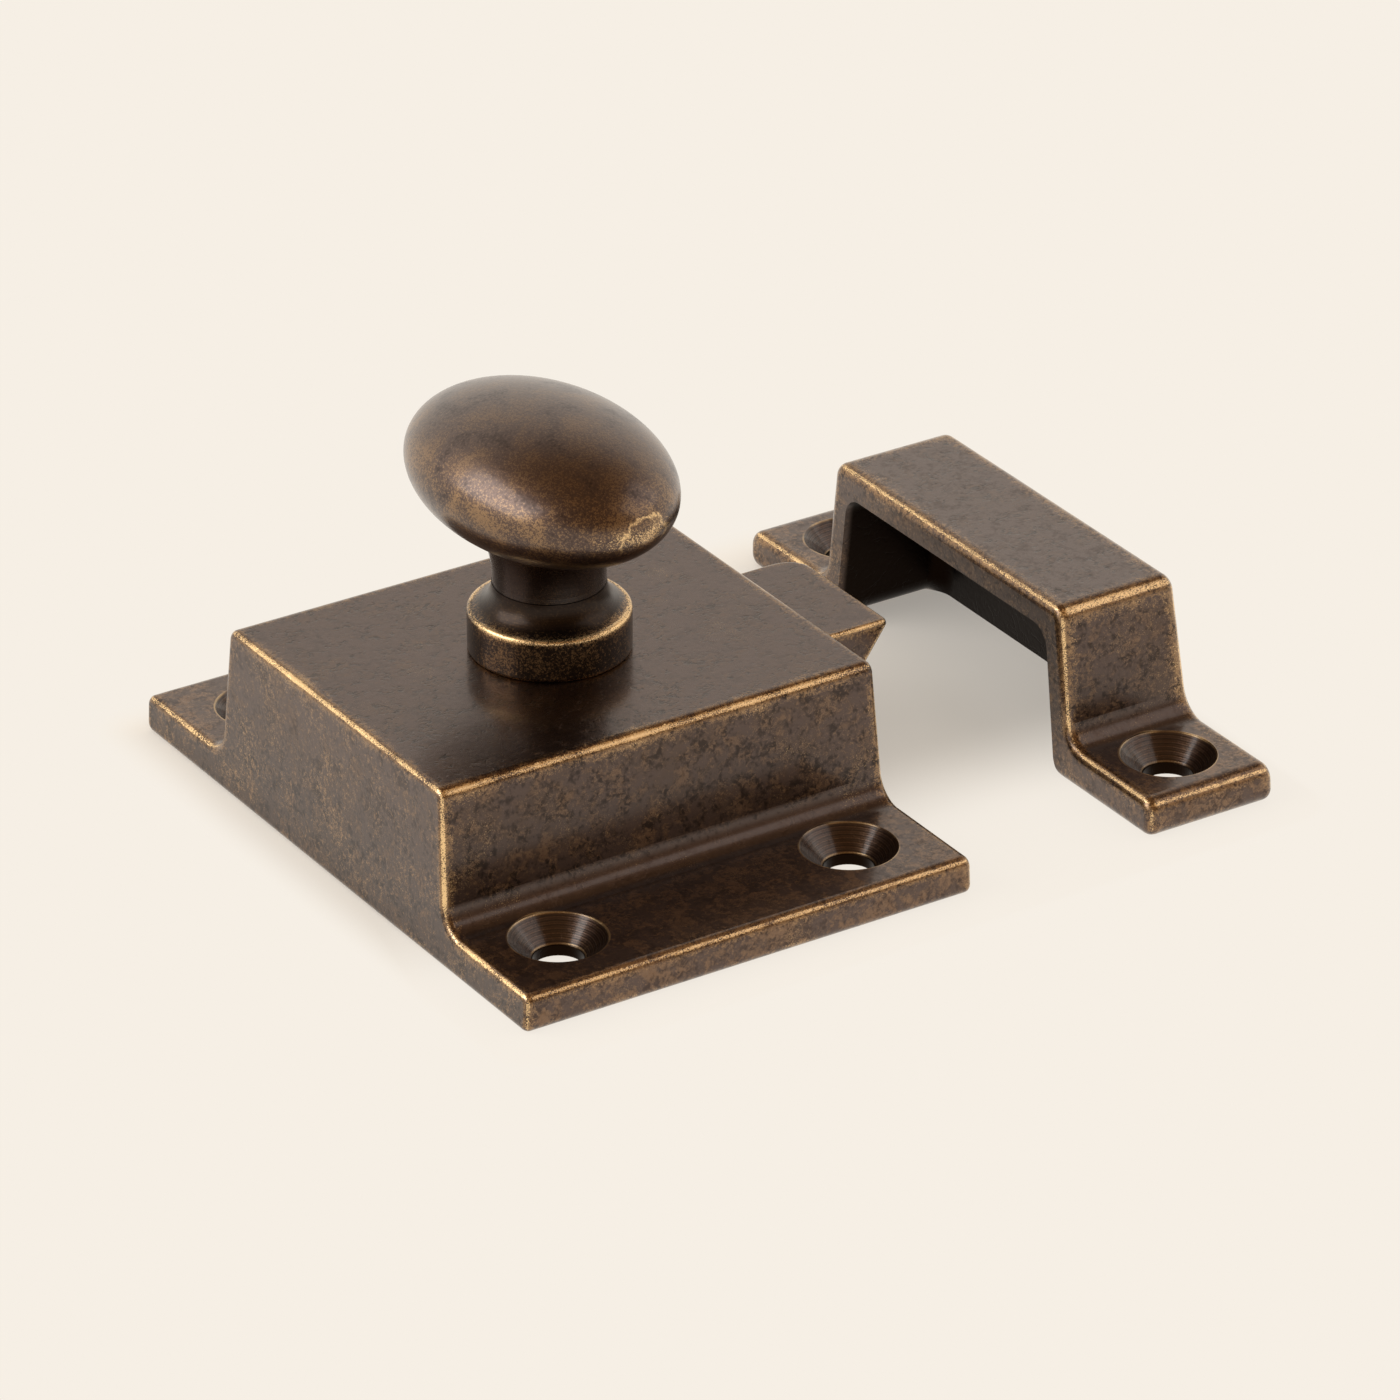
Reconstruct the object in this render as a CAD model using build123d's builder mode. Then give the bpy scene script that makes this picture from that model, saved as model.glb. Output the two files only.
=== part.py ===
"""Surface-mounted cupboard latch: a sprung bolt drawn by an oval turn knob, with its box strike.

Frame: the origin is the middle of the case's mounting face. +X is the way the bolt shoots, +Y runs
from flange to flange and +Z points out of the door towards the knob. All sizes are in millimetres.
"""

import os
from math import cos, pi, radians, sin, sqrt, tan

from build123d import *

# Case: a cast shell with two drilled flanges
case_length = 60.0
case_width = 41.7
case_height = 15.0
body_top_width = 33.2
side_draft = 5.0
end_draft = 2.6
flange_thickness = 3.3
case_wall = 2.3
case_roof = 2.3
flange_root_radius = 2.2
body_edge_radius = 1.0
flange_edge_radius = 0.9
case_sole_radius = 0.85
case_end_radius = 0.6
case_hole_spacing_x = 27.2
case_hole_spacing_y = 46.0
screw_hole_diameter = 4.1
screw_head_diameter = 8.0
screw_head_angle = 90.0
screw_relief_diameter = 6.0
screw_relief_depth = 0.45

# Back plate and its screws
plate_thickness = 1.2
plate_recess = 0.4
plate_ledge = 0.9
plate_clearance = 0.1
plate_corner_radius = 1.5
plate_screw_diameter = 2.4
plate_screw_head = 4.2
plate_screw_length = 6.0
plate_screw_slot_width = 0.6
plate_screw_slot_depth = 0.45

# Corner blocks inside the case: they take the plate screws, seat the springs and stop the bolt
block_depth = 4.4

# Knob: an oval head on a turned neck
knob_width = 19.3
knob_length = 27.9
knob_thickness = 11.8
knob_centre_height = 15.5
knob_offset_x = -0.45
knob_offset_y = 0.29
neck_diameter = 9.2
neck_flare = 1.3
neck_flare_height = 4.85
neck_flare_sink = 0.45
knob_bore_depth = 7.5

# Bearing collar staked in the case roof
collar_diameter = 13.3
collar_height = 3.75
collar_lip = 0.45
collar_edge_radius = 0.35
cove_top_height = 5.95
cove_top_diameter = 9.3
cove_depth = 0.45
spigot_diameter = 9.0

# Spindle, crank and what holds them
spindle_diameter = 6.0
spindle_square = 4.2
pivot_diameter = 4.0
pivot_end_gap = 0.2
washer_diameter = 10.0
washer_thickness = 0.8
crank_radius = 5.85
crank_thickness = 2.4
crank_hub_diameter = 8.8
crank_boss_diameter = 5.2
crank_pin_diameter = 2.5
crank_pin_reach = 5.5
knob_turn = 90.0
clip_diameter = 7.2
clip_thickness = 0.6
clip_groove_depth = 0.4
clip_gap = 2.4

# Bolt: a bevelled nose on a yoke that the crank pin draws
bolt_width = 13.7
bolt_throw = 8.3
nose_height = 7.5
nose_length = 15.3
nose_bevel = 35.0
nose_edge_radius = 0.4
nose_far_corner_radius = 2.2
nose_near_corner_radius = 0.6
bolt_shoulder = 2.05
slot_wall = 1.45
yoke_tail = 3.6
ear_thickness = 2.6
ear_reach = 5.0

# Springs and their guide pins
wire_diameter = 0.5
spring_diameter = 4.6
spring_turns = 11
spring_leg_run = 1.0
spring_leg_turn = 0.12
guide_pin_diameter = 2.6
guide_pin_length = 14.0
guide_pin_chamfer = 0.3

# Strike: a box keeper with a closed back
strike_length = 59.2
strike_width = 12.56
strike_height = 15.2
strike_top_width = 33.0
strike_draft = 7.5
strike_back_draft = 4.2
strike_foot = 3.4
strike_leg = 2.3
strike_bridge = 2.5
strike_back_wall = 1.5
strike_root_radius = 2.2
strike_edge_radius = 1.4
strike_sole_radius = 1.2
strike_end_radius = 0.9
strike_inner_radius = 2.0
strike_corner_radius = 1.6
strike_mouth_radius = 2.0
strike_hole_spacing = 46.6
strike_gap = 16.8
strike_offset = -1.0

# Clearances
running_clearance = 0.05
close_clearance = 0.02
slide_clearance = 0.15
stop_clearance = 0.15
swing_clearance = 0.35
pin_slot_clearance = 0.3
bolt_head_clearance = 0.2
spring_clearance = 0.35
neck_clearance = 0.05
washer_clearance = 0.15

# Heights, counted from the mounting face
plate_top = plate_recess + plate_thickness
roof = case_height - case_roof
crank_top = roof - washer_thickness - washer_clearance
crank_bottom = crank_top - crank_thickness
clip_bottom = crank_bottom - clip_thickness - running_clearance
yoke_top = clip_bottom - swing_clearance
yoke_bottom = plate_top + slide_clearance
bolt_top = roof - bolt_head_clearance
nose_bottom = bolt_top - nose_height
collar_top = case_height + cove_top_height
neck_bottom = collar_top + neck_clearance
knob_centre = case_height + knob_centre_height

# Lengths along the bolt
cavity_end = case_width / 2 - case_height * tan(radians(end_draft)) - case_wall
block_face = cavity_end - block_depth
half_turn = radians(knob_turn / 2)
bolt_travel = 2 * crank_radius * sin(half_turn)
pin_rest_x = crank_radius * sin(half_turn)
pin_rest_y = -crank_radius * cos(half_turn)
ear_front = block_face - stop_clearance
ear_back = ear_front - ear_thickness
yoke_front = cavity_end - stop_clearance
nose_tip = case_width / 2 - bolt_top * tan(radians(end_draft)) + bolt_throw
nose_back = nose_tip - nose_length

# Widths across the bolt
pin_slot_half = crank_pin_diameter / 2 + pin_slot_clearance
pin_slot_end = crank_radius + pin_slot_half
yoke_half = max(pin_slot_end + slot_wall, bolt_width / 2 + bolt_shoulder)
spring_y = yoke_half + spring_clearance + spring_diameter / 2
spring_z = (yoke_bottom + yoke_top) / 2
ear_half = yoke_half + ear_reach
block_side = yoke_half + slide_clearance


def body_half(height):
    """Half the case body's width at a height, between its two drafted sides."""
    return body_top_width / 2 + (case_height - height) * tan(radians(side_draft))


def cavity_half(height):
    """Half the cavity's width at a height: the body less its walls."""
    return body_half(height) - case_wall / cos(radians(side_draft))


plate_screw_x = (block_face + cavity_end) / 2
plate_screw_y = (block_side + cavity_half(plate_top)) / 2
rebate_half_x = cavity_end + plate_ledge
rebate_half_y = cavity_half(plate_top) + plate_ledge


def hat_points(half_length, half_top, height, foot, draft_angle):
    """Corners of a hat section: a raised body with a flat foot each side."""
    half_root = half_top + (height - foot) * tan(radians(draft_angle))
    return [
        (-half_length, 0),
        (half_length, 0),
        (half_length, foot),
        (half_root, foot),
        (half_top, height),
        (-half_top, height),
        (-half_root, foot),
        (-half_length, foot),
    ]


def foot_corners(section):
    """A hat section's corners at the height of its feet, from the middle outwards."""
    return section.vertices().group_by(Axis.Y)[1].sort_by(lambda corner: abs(corner.X))


def round_body(section, edge_radius, root_radius):
    """Rounds a hat section's top corners and the roots of its sides."""
    fillet(section.vertices().group_by(Axis.Y)[-1], edge_radius)
    fillet(foot_corners(section)[:2], root_radius)


def round_feet(section, edge_radius, sole_radius):
    """Rounds the ends of a hat section's feet, above and below."""
    fillet(foot_corners(section)[-2:], edge_radius)
    fillet(section.vertices().group_by(Axis.Y)[0], sole_radius)


def relieved_underneath():
    """A shallow cone under a screw hole, which clears the wood that the screw lifts."""
    return Cone(
        screw_relief_diameter / 2,
        screw_hole_diameter / 2,
        screw_relief_depth,
        align=(Align.CENTER, Align.CENTER, Align.MIN),
        mode=Mode.SUBTRACT,
    )


# Case
with BuildPart() as case:
    with BuildSketch(Plane.YZ) as case_section:
        with BuildLine():
            Polyline(
                *hat_points(
                    case_length / 2, body_top_width / 2, case_height, flange_thickness, side_draft
                ),
                close=True,
            )
        make_face()
        round_body(case_section, body_edge_radius, flange_root_radius)
        round_feet(case_section, flange_edge_radius, case_sole_radius)
    extrude(amount=case_width / 2, both=True)
    case_top_half = case_width / 2 - case_height * tan(radians(end_draft))
    with BuildSketch(Plane.XZ):
        with BuildLine():
            Polyline(
                (-case_width / 2, 0),
                (case_width / 2, 0),
                (case_top_half, case_height),
                (-case_top_half, case_height),
                close=True,
            )
        make_face()
    extrude(amount=case_length, both=True, mode=Mode.INTERSECT)
    for end in (case.faces().sort_by(Axis.X)[0], case.faces().sort_by(Axis.X)[-1]):
        fillet(end.edges(), case_end_radius)
    # The rebate for the back plate, then the two crossing pockets that leave the corner blocks
    with BuildSketch(Plane.XY):
        RectangleRounded(2 * rebate_half_x, 2 * rebate_half_y, plate_corner_radius)
    extrude(amount=plate_top, mode=Mode.SUBTRACT)
    with BuildSketch(Plane.XY.offset(plate_top)):
        Rectangle(2 * cavity_end, 2 * block_side)
    extrude(amount=roof - plate_top, mode=Mode.SUBTRACT)
    with BuildSketch(Plane.YZ):
        with BuildLine():
            Polyline(
                (-cavity_half(plate_top), plate_top),
                (cavity_half(plate_top), plate_top),
                (cavity_half(roof), roof),
                (-cavity_half(roof), roof),
                close=True,
            )
        make_face()
    extrude(amount=block_face, both=True, mode=Mode.SUBTRACT)
    # The bolt's window in the +X wall
    with BuildSketch(Plane.YZ.offset(cavity_end)):
        with Locations((0, (nose_bottom + bolt_top) / 2)):
            Rectangle(bolt_width + 2 * slide_clearance, nose_height + 2 * slide_clearance)
    extrude(amount=case_width / 2, mode=Mode.SUBTRACT)
    # The collar's seat, the mounting screws and the plate screws' pilot holes
    with Locations((0, 0, case_height)):
        Hole(spigot_diameter / 2 + close_clearance, depth=2 * case_roof)
    with Locations(Plane.XY.offset(flange_thickness)):
        with GridLocations(case_hole_spacing_x, case_hole_spacing_y, 2, 2):
            CounterSinkHole(
                screw_hole_diameter / 2,
                screw_head_diameter / 2,
                depth=flange_thickness,
                counter_sink_angle=screw_head_angle,
            )
    with GridLocations(case_hole_spacing_x, case_hole_spacing_y, 2, 2):
        relieved_underneath()
    with BuildSketch(Plane.XY.offset(plate_top)):
        with GridLocations(2 * plate_screw_x, 2 * plate_screw_y, 2, 2):
            Circle(plate_screw_diameter / 2 + close_clearance)
    extrude(amount=plate_screw_length, mode=Mode.SUBTRACT)
case.part.label = "case"

# Back plate
plate_underside = Plane((0, 0, plate_recess), z_dir=(0, 0, -1))
with BuildPart() as back_plate:
    with BuildSketch(Plane.XY.offset(plate_recess)):
        RectangleRounded(
            2 * (rebate_half_x - plate_clearance),
            2 * (rebate_half_y - plate_clearance),
            plate_corner_radius - plate_clearance,
        )
        Circle(pivot_diameter / 2 + running_clearance, mode=Mode.SUBTRACT)
    extrude(amount=plate_thickness)
    with Locations(plate_underside):
        with GridLocations(2 * plate_screw_x, 2 * plate_screw_y, 2, 2):
            CounterSinkHole(
                plate_screw_diameter / 2 + close_clearance,
                plate_screw_head / 2 + close_clearance,
                depth=plate_thickness,
                counter_sink_angle=90,
            )
back_plate.part.label = "back_plate"

# Back plate screws: slotted countersunk heads, flush with the plate
plate_screw_cone = (plate_screw_head - plate_screw_diameter) / 2
with BuildPart() as plate_screw:
    with BuildSketch(Plane.XZ):
        with BuildLine():
            Polyline(
                (0, plate_recess),
                (plate_screw_head / 2, plate_recess),
                (plate_screw_diameter / 2, plate_recess + plate_screw_cone),
                (plate_screw_diameter / 2, plate_recess + plate_screw_length),
                (0, plate_recess + plate_screw_length),
                close=True,
            )
        make_face()
    revolve(axis=Axis.Z)
    with BuildSketch(Plane.XY.offset(plate_recess)):
        Rectangle(2 * plate_screw_head, plate_screw_slot_width)
    extrude(amount=plate_screw_slot_depth, mode=Mode.SUBTRACT)
with BuildPart() as back_plate_screws:
    with GridLocations(2 * plate_screw_x, 2 * plate_screw_y, 2, 2):
        add(plate_screw.part)
back_plate_screws.part.label = "back_plate_screws"

# Bearing collar: a turned ring with a cove, staked in the case roof by its spigot
rim_radius = collar_diameter / 2
rim_height = case_height + collar_height
cove_start = Vector(rim_radius - collar_lip, rim_height)
cove_end = Vector(cove_top_diameter / 2, collar_top)
cove_chord = cove_end - cove_start
cove_middle = (cove_start + cove_end) / 2 + Vector(-cove_chord.Y, cove_chord.X).normalized() * cove_depth
bearing_radius = spindle_diameter / 2 + running_clearance
with BuildPart() as bearing_collar:
    with BuildSketch(Plane.XZ) as collar_section:
        with BuildLine():
            Polyline(
                (cove_end.X, cove_end.Y),
                (bearing_radius, collar_top),
                (bearing_radius, roof),
                (spigot_diameter / 2, roof),
                (spigot_diameter / 2, case_height),
                (rim_radius, case_height),
                (rim_radius, rim_height),
                (cove_start.X, cove_start.Y),
            )
            ThreePointArc(
                (cove_start.X, cove_start.Y), (cove_middle.X, cove_middle.Y), (cove_end.X, cove_end.Y)
            )
        make_face()
        fillet(collar_section.vertices().group_by(Axis.X)[-1], collar_edge_radius)
    revolve(axis=Axis.Z)
bearing_collar.part.label = "bearing_collar"

# Thrust washer under the collar's spigot
with BuildPart() as thrust_washer:
    with BuildSketch(Plane.XY.offset(roof - washer_thickness)):
        Circle(washer_diameter / 2)
        Circle(spindle_diameter / 2 + slide_clearance, mode=Mode.SUBTRACT)
    extrude(amount=washer_thickness)
thrust_washer.part.label = "thrust_washer"

# Knob: an oval head, longest across the bolt and cast a little off the neck that flares into it
with BuildPart() as knob_head:
    Sphere(1)
    scale(by=(knob_width / 2, knob_length / 2, knob_thickness / 2))
neck_radius = neck_diameter / 2
flare_radius = neck_radius + neck_flare
head_droop = knob_thickness / 2 * sqrt(1 - (flare_radius / (knob_width / 2)) ** 2)
flare_end = knob_centre - head_droop + neck_flare_sink
flare_start = flare_end - neck_flare_height
with BuildPart() as knob:
    with BuildSketch(Plane.XZ):
        with BuildLine():
            Polyline(
                (flare_radius, flare_end),
                (0, flare_end),
                (0, neck_bottom),
                (neck_radius, neck_bottom),
                (neck_radius, flare_start),
            )
            TangentArc((neck_radius, flare_start), (flare_radius, flare_end), tangent=(0, 1))
        make_face()
    revolve(axis=Axis.Z)
    with Locations((knob_offset_x, knob_offset_y, knob_centre)):
        add(knob_head.part)
    with BuildSketch(Plane.XY.offset(neck_bottom)):
        Circle(spindle_diameter / 2 + close_clearance)
    extrude(amount=knob_bore_depth, mode=Mode.SUBTRACT)
knob.part.label = "knob"

# Spindle: journal in the collar, square for the crank, pivot in the back plate
groove_radius = pivot_diameter / 2 - clip_groove_depth
with BuildPart() as spindle:
    with BuildSketch(Plane.XY.offset(crank_top)):
        Circle(spindle_diameter / 2)
    extrude(amount=neck_bottom + knob_bore_depth - crank_top)
    with BuildSketch(Plane.XY.offset(crank_bottom)):
        Rectangle(spindle_square, spindle_square)
    extrude(amount=crank_thickness)
    with BuildSketch(Plane.XY.offset(plate_recess + pivot_end_gap)):
        Circle(pivot_diameter / 2)
    extrude(amount=crank_bottom - plate_recess - pivot_end_gap)
    with BuildSketch(Plane.XY.offset(clip_bottom)):
        Circle(pivot_diameter)
        Circle(groove_radius, mode=Mode.SUBTRACT)
    extrude(amount=clip_thickness, mode=Mode.SUBTRACT)
spindle.part.label = "spindle"

# Crank arm: at rest it points half the knob's turn ahead of -Y
with BuildPart() as crank_arm:
    with BuildSketch(Plane.XY.offset(crank_bottom)):
        Circle(crank_hub_diameter / 2)
        with Locations((pin_rest_x, pin_rest_y)):
            Circle(crank_boss_diameter / 2)
        make_hull()
        Rectangle(
            spindle_square + 2 * close_clearance,
            spindle_square + 2 * close_clearance,
            mode=Mode.SUBTRACT,
        )
        with Locations((pin_rest_x, pin_rest_y)):
            Circle(crank_pin_diameter / 2 + close_clearance, mode=Mode.SUBTRACT)
    extrude(amount=crank_thickness)
crank_arm.part.label = "crank_arm"

# Crank pin: flush with the arm's top, reaching down into the bolt's cross slot
with BuildPart() as crank_pin:
    with BuildSketch(Plane.XY.offset(crank_bottom - crank_pin_reach)):
        with Locations((pin_rest_x, pin_rest_y)):
            Circle(crank_pin_diameter / 2)
    extrude(amount=crank_pin_reach + crank_thickness)
crank_pin.part.label = "crank_pin"

# Retaining clip: an open ring snapped into the spindle's groove
with BuildPart() as retaining_clip:
    with BuildSketch(Plane.XY.offset(clip_bottom)):
        Circle(clip_diameter / 2)
        Circle(groove_radius + close_clearance, mode=Mode.SUBTRACT)
        with Locations((0, clip_diameter / 2)):
            Rectangle(clip_gap, clip_diameter, mode=Mode.SUBTRACT)
    extrude(amount=clip_thickness)
retaining_clip.part.label = "retaining_clip"

# Bolt: yoke with a window for the spindle and a cross slot for the pin, spring ears, bevelled nose
window_half = pivot_diameter / 2 + swing_clearance
yoke_back = -window_half - yoke_tail
nose_heel = nose_tip - nose_height * tan(radians(nose_bevel))


def along_bevel(edge):
    """Whether an edge runs up the nose's bevel, from its heel to its tip."""
    return nose_heel < edge.center().X and abs(edge.tangent_at(0.5).Z) > sin(radians(nose_bevel))


with BuildPart() as bolt:
    with BuildSketch(Plane.XY.offset(yoke_bottom)):
        with Locations(((yoke_back + yoke_front) / 2, 0)):
            Rectangle(yoke_front - yoke_back, 2 * yoke_half)
        with Locations(((ear_back + ear_front) / 2, 0)):
            Rectangle(ear_thickness, 2 * ear_half)
        with Locations((bolt_travel / 2, 0)):
            Rectangle(bolt_travel + 2 * window_half, 2 * window_half, mode=Mode.SUBTRACT)
        with Locations((pin_rest_x, -pin_slot_end / 2)):
            Rectangle(2 * pin_slot_half, pin_slot_end, mode=Mode.SUBTRACT)
    extrude(amount=yoke_top - yoke_bottom)
    with BuildSketch(Plane.XZ):
        with BuildLine():
            Polyline(
                (nose_back, nose_bottom),
                (nose_heel, nose_bottom),
                (nose_tip, bolt_top),
                (nose_back, bolt_top),
                close=True,
            )
        make_face()
    extrude(amount=bolt_width / 2, both=True)
    fillet(bolt.edges().filter_by(along_bevel).sort_by(Axis.Y)[-1], nose_far_corner_radius)
    fillet(bolt.edges().filter_by(along_bevel).sort_by(Axis.Y)[0], nose_near_corner_radius)
    top_edges = bolt.faces().sort_by(Axis.Z)[-1].edges()
    fillet(top_edges - top_edges.group_by(Axis.X)[0], nose_edge_radius)
    for side in (-1, 1):
        with BuildSketch(Plane.YZ.offset(ear_back)):
            with Locations((side * spring_y, spring_z)):
                Circle(guide_pin_diameter / 2 + close_clearance)
        extrude(amount=ear_thickness, mode=Mode.SUBTRACT)
bolt.part.label = "bolt"


def guide_pin(label, side):
    """A round pin pressed through one of the bolt's ears, reaching back inside its spring."""
    with BuildPart() as pin:
        with BuildSketch(Plane.YZ.offset(ear_front)):
            with Locations((side * spring_y, spring_z)):
                Circle(guide_pin_diameter / 2)
        extrude(amount=-(ear_thickness + guide_pin_length))
        chamfer(pin.faces().sort_by(Axis.X)[0].edges(), guide_pin_chamfer)
    pin.part.label = label
    return pin


def biarc_knot(start, start_way, finish, finish_way):
    """The point where two arcs meet that leave start and reach finish along the given ways."""
    span = finish - start
    both_ways = start_way + finish_way
    turn = 2 * (1 - start_way.dot(finish_way))
    along = span.dot(both_ways)
    reach = (sqrt(along * along + turn * span.dot(span)) - along) / turn
    return (start + start_way * reach + finish - finish_way * reach) / 2


def spring_path(side):
    """Points and directions of a helix every half turn, with an end leg square to each seat."""
    radius = (spring_diameter - wire_diameter) / 2
    first = -block_face + wire_diameter + spring_leg_run
    last = ear_back - wire_diameter - spring_leg_run
    pitch = (last - first) / spring_turns
    lead = Vector(pitch / (2 * pi), 0, 0)

    def around(turns):
        angle = 2 * pi * turns
        return Vector(0, side * spring_y + radius * cos(angle), spring_z + radius * sin(angle))

    def way(turns):
        angle = 2 * pi * turns
        return (lead + Vector(0, -radius * sin(angle), radius * cos(angle))).normalized()

    axial = Vector(1, 0, 0)
    knots = [(around(-spring_leg_turn) + axial * (first - spring_leg_run), axial)]
    for half in range(2 * spring_turns + 1):
        turns = half / 2
        knots.append((around(turns) + axial * (first + pitch * turns), way(turns)))
    knots.append((around(spring_turns + spring_leg_turn) + axial * (last + spring_leg_run), axial))
    return knots


def coil_spring(label, side):
    """A compression spring, one wire wound on arcs from the case's block to the bolt's ear."""
    knots = spring_path(side)
    axial = Vector(1, 0, 0)
    with BuildPart() as spring:
        with BuildLine() as wire:
            Line(knots[0][0] - axial * wire_diameter, knots[0][0])
            for (start, start_way), (finish, finish_way) in zip(knots, knots[1:]):
                middle = biarc_knot(start, start_way, finish, finish_way)
                first_arc = TangentArc(start, middle, tangent=start_way)
                TangentArc(middle, finish, tangent=first_arc % 1)
            Line(knots[-1][0], knots[-1][0] + axial * wire_diameter)
        with BuildSketch(Plane(wire.line @ 0, z_dir=axial)):
            Circle(wire_diameter / 2)
        sweep()
    spring.part.label = label
    return spring, wire


def least_gap(wire):
    """The least distance between one turn of a wire and the next, less the wire itself."""
    samples = 40 * spring_turns
    points = [wire.line @ (i / samples) for i in range(samples + 1)]
    apart = int(samples / spring_turns / 2)
    distances = [
        (points[i] - points[j]).length
        for i in range(len(points))
        for j in range(i + apart, len(points))
    ]
    return min(distances) - wire_diameter


right_guide_pin = guide_pin("right_guide_pin", -1)
left_guide_pin = guide_pin("left_guide_pin", 1)
right_spring, right_wire = coil_spring("right_spring", -1)
left_spring, left_wire = coil_spring("left_spring", 1)

# Strike: a hat-shaped bridge, open towards the latch and underneath, with a closed back
mouth_x = case_width / 2 + strike_gap
back_x = mouth_x + strike_width
back_lean = strike_height * tan(radians(strike_back_draft))
strike_plane = Plane((mouth_x, strike_offset, 0), x_dir=(0, 1, 0), z_dir=(1, 0, 0))
strike_side = Plane((mouth_x, strike_offset, 0), x_dir=(1, 0, 0), z_dir=(0, -1, 0))


def strike_inner_half(height):
    """Half the room between the strike's legs at a height."""
    outer = strike_top_width / 2 + (strike_height - height) * tan(radians(strike_draft))
    return outer - strike_leg / cos(radians(strike_draft))


strike_ceiling = strike_height - strike_bridge
room_depth = strike_width - strike_back_wall
room_spread = strike_inner_half(0) + 2 * strike_mouth_radius
room_overrun = strike_foot / 2
room_plane = Plane((mouth_x, strike_offset, -room_overrun), x_dir=(0, 1, 0), z_dir=(1, 0, 0))
with BuildPart() as strike_room:
    # The room is itself a hat section: its roots are the rounded inner corners of the two feet
    with BuildSketch(room_plane) as room_section:
        with BuildLine():
            Polyline(
                *hat_points(
                    room_spread,
                    strike_inner_half(strike_ceiling),
                    strike_ceiling + room_overrun,
                    room_overrun,
                    strike_draft,
                ),
                close=True,
            )
        make_face()
        round_body(room_section, strike_inner_radius, strike_mouth_radius)
    extrude(amount=strike_width)
    with BuildSketch(strike_side):
        with BuildLine():
            Polyline(
                (0, -room_overrun),
                (room_depth + room_overrun * tan(radians(strike_back_draft)), -room_overrun),
                (room_depth - back_lean, strike_height),
                (0, strike_height),
                close=True,
            )
        make_face()
    extrude(amount=strike_length, both=True, mode=Mode.INTERSECT)
    room_back = strike_room.faces().sort_by(Axis.X)[-1]
    fillet(room_back.edges().filter_by(lambda edge: edge.center().Z > 0), strike_corner_radius)
with BuildPart() as strike:
    with BuildSketch(strike_plane) as strike_section:
        with BuildLine():
            Polyline(
                *hat_points(
                    strike_length / 2,
                    strike_top_width / 2,
                    strike_height,
                    strike_foot,
                    strike_draft,
                ),
                close=True,
            )
        make_face()
        round_body(strike_section, strike_edge_radius, strike_root_radius)
        round_feet(strike_section, strike_edge_radius, strike_sole_radius)
    extrude(amount=strike_width)
    with BuildSketch(strike_side):
        with BuildLine():
            Polyline(
                (0, 0),
                (strike_width, 0),
                (strike_width - back_lean, strike_height),
                (0, strike_height),
                close=True,
            )
        make_face()
    extrude(amount=strike_length, both=True, mode=Mode.INTERSECT)
    for end in (strike.faces().sort_by(Axis.X)[0], strike.faces().sort_by(Axis.X)[-1]):
        fillet(end.edges(), strike_end_radius)
    add(strike_room.part, mode=Mode.SUBTRACT)
    with Locations((mouth_x + strike_width / 2, strike_offset)):
        with GridLocations(0, strike_hole_spacing, 1, 2):
            relieved_underneath()
    with Locations(Plane((mouth_x + strike_width / 2, strike_offset, strike_foot))):
        with GridLocations(0, strike_hole_spacing, 1, 2):
            CounterSinkHole(
                screw_hole_diameter / 2,
                screw_head_diameter / 2,
                depth=strike_foot,
                counter_sink_angle=screw_head_angle,
            )
strike.part.label = "strike"

pieces = [
    case,
    back_plate,
    back_plate_screws,
    bearing_collar,
    thrust_washer,
    knob,
    spindle,
    crank_arm,
    crank_pin,
    retaining_clip,
    bolt,
    left_guide_pin,
    right_guide_pin,
    left_spring,
    right_spring,
    strike,
]
os.makedirs("parts", exist_ok=True)
for piece in pieces:
    export_step(piece.part, f"parts/{piece.part.label}.step")

print(f"bolt travel {bolt_travel:.2f} mm over {knob_turn:.0f} degrees of the knob")
print(f"least gap between spring turns {min(least_gap(left_wire), least_gap(right_wire)):.2f} mm")
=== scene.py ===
"""Dresses the cupboard latch: aged brass with rubbed edges on the castings, turned brass on the knob and
its collar, bright wire springs inside, and the pale studio it stands in. Lengths named here are in
millimetres unless a name says otherwise."""

import math
from collections import namedtuple

import bmesh
import bpy
import numpy as np
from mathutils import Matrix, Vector


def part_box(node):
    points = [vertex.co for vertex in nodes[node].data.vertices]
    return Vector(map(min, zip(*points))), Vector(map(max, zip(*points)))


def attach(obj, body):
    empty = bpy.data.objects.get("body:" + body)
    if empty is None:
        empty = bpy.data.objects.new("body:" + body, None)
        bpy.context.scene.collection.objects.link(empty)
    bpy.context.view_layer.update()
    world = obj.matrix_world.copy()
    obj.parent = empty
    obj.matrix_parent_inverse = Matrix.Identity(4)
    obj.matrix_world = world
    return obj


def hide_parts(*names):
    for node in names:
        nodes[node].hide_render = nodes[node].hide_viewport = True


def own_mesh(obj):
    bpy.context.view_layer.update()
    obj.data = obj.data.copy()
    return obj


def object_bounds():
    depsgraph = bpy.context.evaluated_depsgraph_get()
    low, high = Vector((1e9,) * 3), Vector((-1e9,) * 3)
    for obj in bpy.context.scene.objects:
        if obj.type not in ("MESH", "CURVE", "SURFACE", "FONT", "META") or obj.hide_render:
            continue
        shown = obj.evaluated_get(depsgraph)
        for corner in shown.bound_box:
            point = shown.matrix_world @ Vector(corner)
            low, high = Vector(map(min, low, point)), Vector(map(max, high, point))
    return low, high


MM = 0.001

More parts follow.
